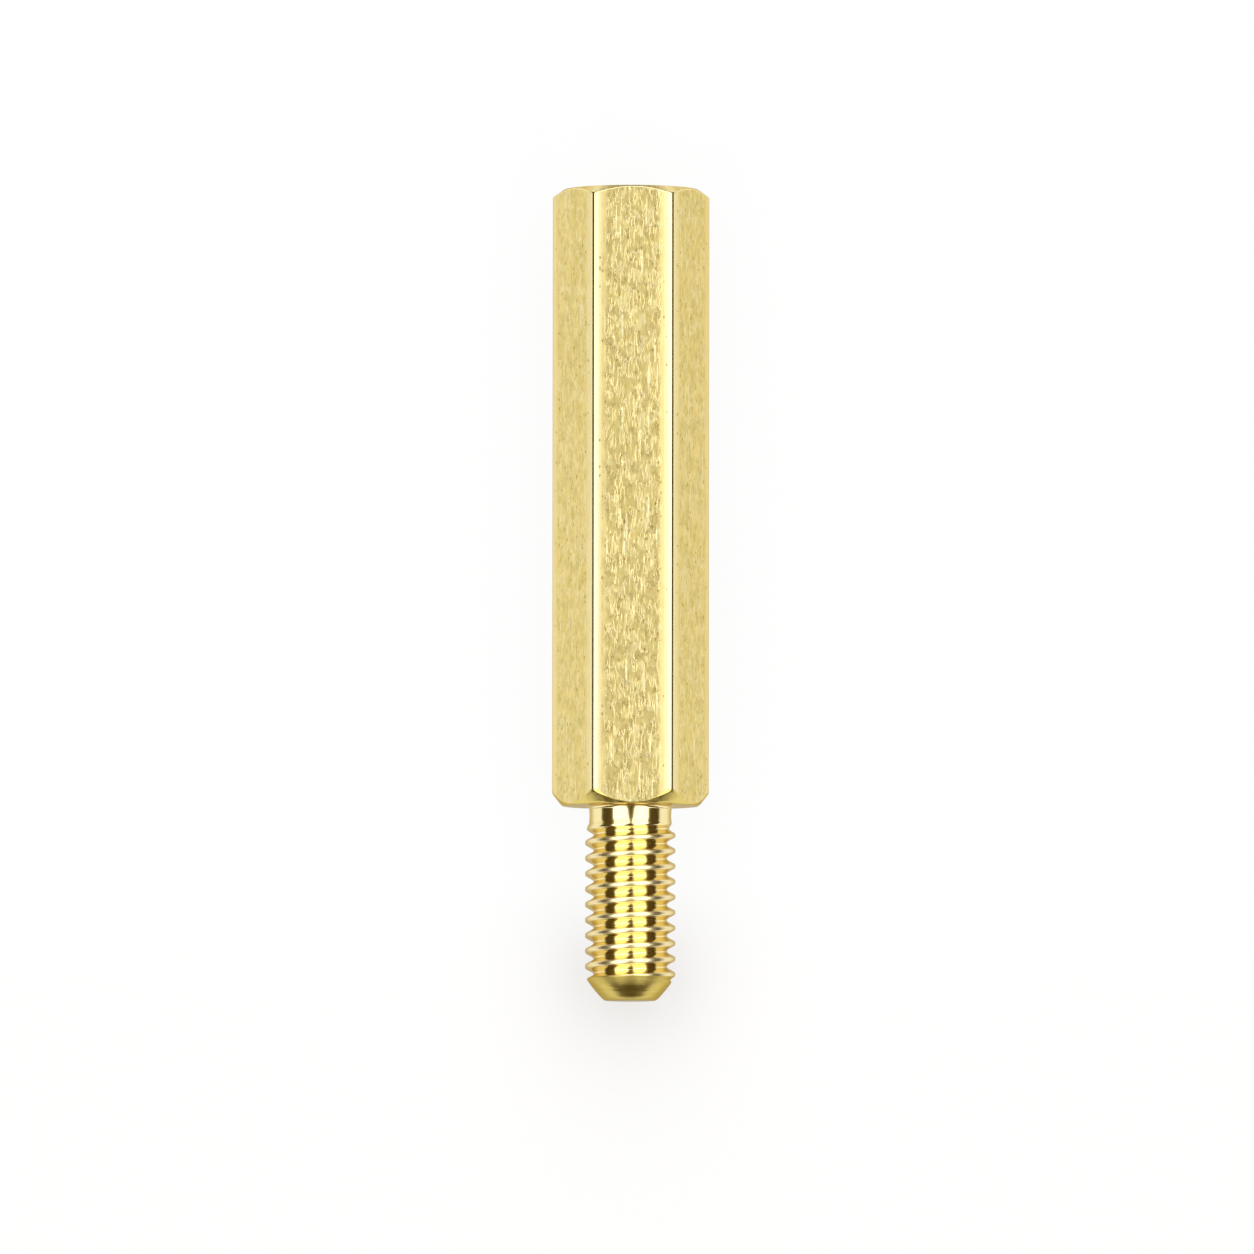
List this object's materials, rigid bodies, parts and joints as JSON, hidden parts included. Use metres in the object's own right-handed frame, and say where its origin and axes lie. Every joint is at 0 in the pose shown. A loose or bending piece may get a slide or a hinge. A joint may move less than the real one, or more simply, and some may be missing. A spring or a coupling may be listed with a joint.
{
  "type": "hex standoff",
  "caption": "Brass hex standoff with a threaded stud at one end and a tapped hole at the other, lying on a flat.",
  "frame": {"origin": "centre of the shoulder face, on the standoff's axis", "axes": "+Y along the axis from the shoulder to the tapped end, -Z out of the flat that it lies on"},
  "size_m": [0.0052, 0.0263, 0.0046],
  "materials": {
    "brass": "drawn matte flats with fine scratches, bright rolled thread"
  },
  "bodies": {
    "root": {"hex_standoff": "brass"}
  },
  "joints": []
}
